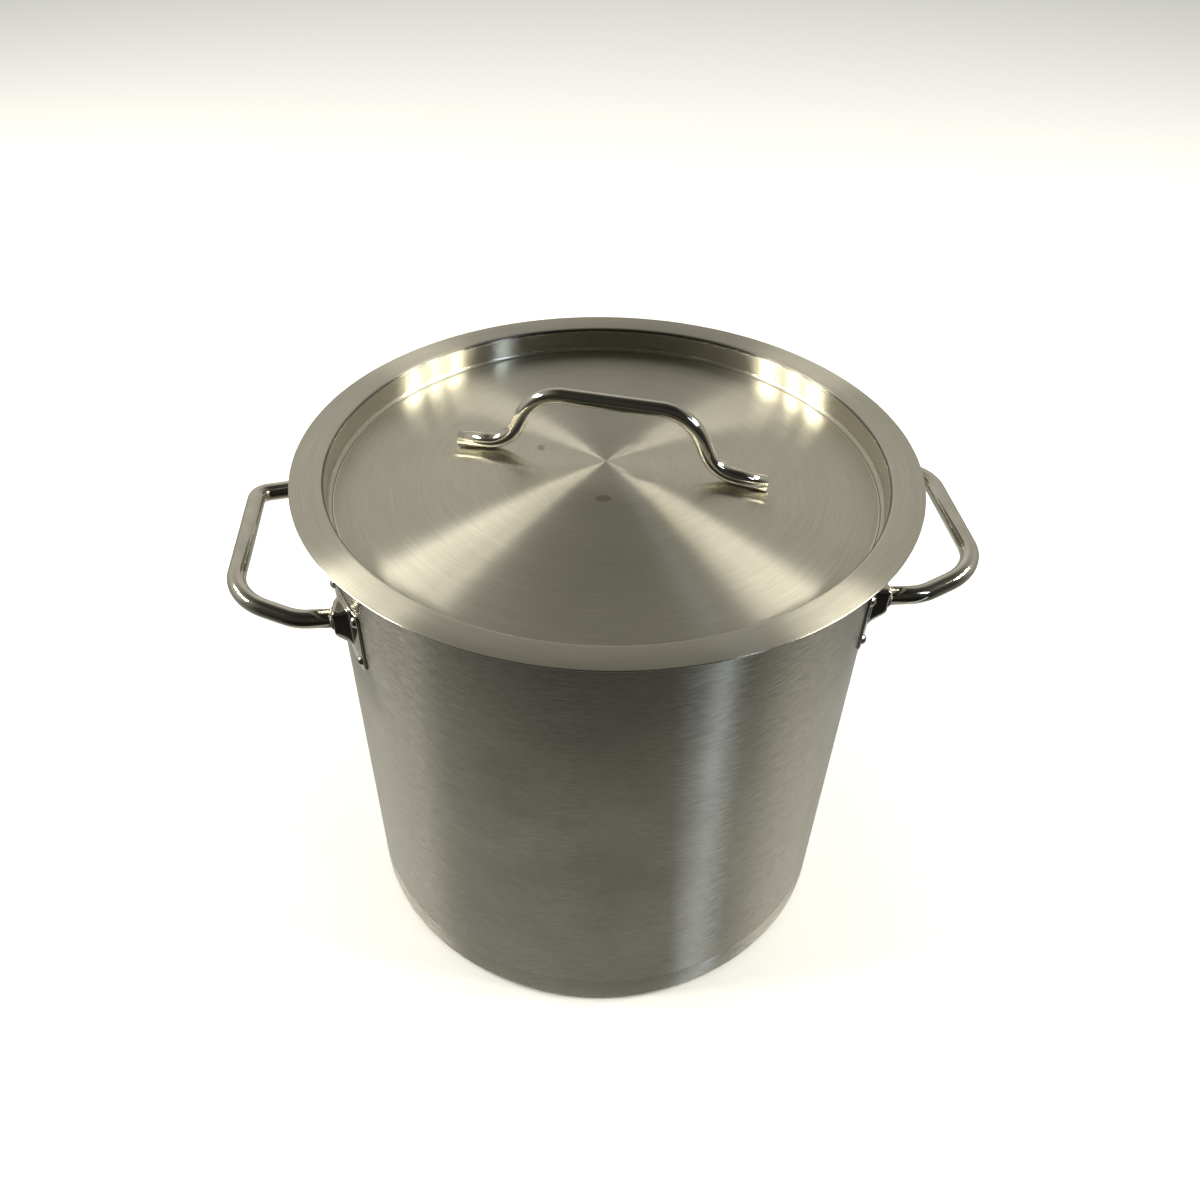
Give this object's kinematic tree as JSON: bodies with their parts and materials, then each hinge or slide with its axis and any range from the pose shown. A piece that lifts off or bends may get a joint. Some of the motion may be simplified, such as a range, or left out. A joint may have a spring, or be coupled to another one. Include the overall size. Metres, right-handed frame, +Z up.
{
  "type": "brew kettle",
  "caption": "Tall cylindrical stainless steel brew kettle with an encapsulated base, tubular side handles on riveted pressed brackets and a loose recessed lid with a bent tube handle.",
  "frame": {"origin": "centre of the underside of the base, on the surface that the kettle stands on", "axes": "+Z up along the kettle's axis, +X along the line of the two side handles, -Y towards the front"},
  "size_m": [0.49, 0.398, 0.3994],
  "materials": {
    "brushed_wall": "wall brushed round the kettle, satin",
    "brushed_base": "base capsule, duller and darker satin",
    "brushed_lid": "brushed in circles about the lid's centre, satin",
    "polished_tube": "mirror polished stainless tube",
    "polished_pressing": "mirror polished pressed stainless sheet",
    "rivet_steel": "polished stainless rivet heads",
    "weld_bead": "dressed weld, dull",
    "core_aluminium": "plain rolled disc, sealed inside the base"
  },
  "bodies": {
    "kettle": {"kettle_shell": "brushed_wall", "base_core_disc": "core_aluminium", "base_capsule": "brushed_base", "side_handle_right": "polished_tube", "side_handle_left": "polished_tube", "bracket_right_rear": "polished_pressing", "rivets_right_rear": "rivet_steel", "leg_weld_right_rear": "weld_bead", "bracket_right_front": "polished_pressing", "rivets_right_front": "rivet_steel", "leg_weld_right_front": "weld_bead", "bracket_left_rear": "polished_pressing", "rivets_left_rear": "rivet_steel", "leg_weld_left_rear": "weld_bead", "bracket_left_front": "polished_pressing", "rivets_left_front": "rivet_steel", "leg_weld_left_front": "weld_bead"},
    "lid": {"lid_panel": "brushed_lid", "lid_handle": "polished_tube", "lid_weld_right": "weld_bead", "lid_weld_left": "weld_bead"}
  },
  "joints": [
    {"name": "lid_lift", "type": "slide", "parent": "kettle", "child": "lid", "axis": [0, 0, 1], "range_m": [0, 0.3]}
  ]
}
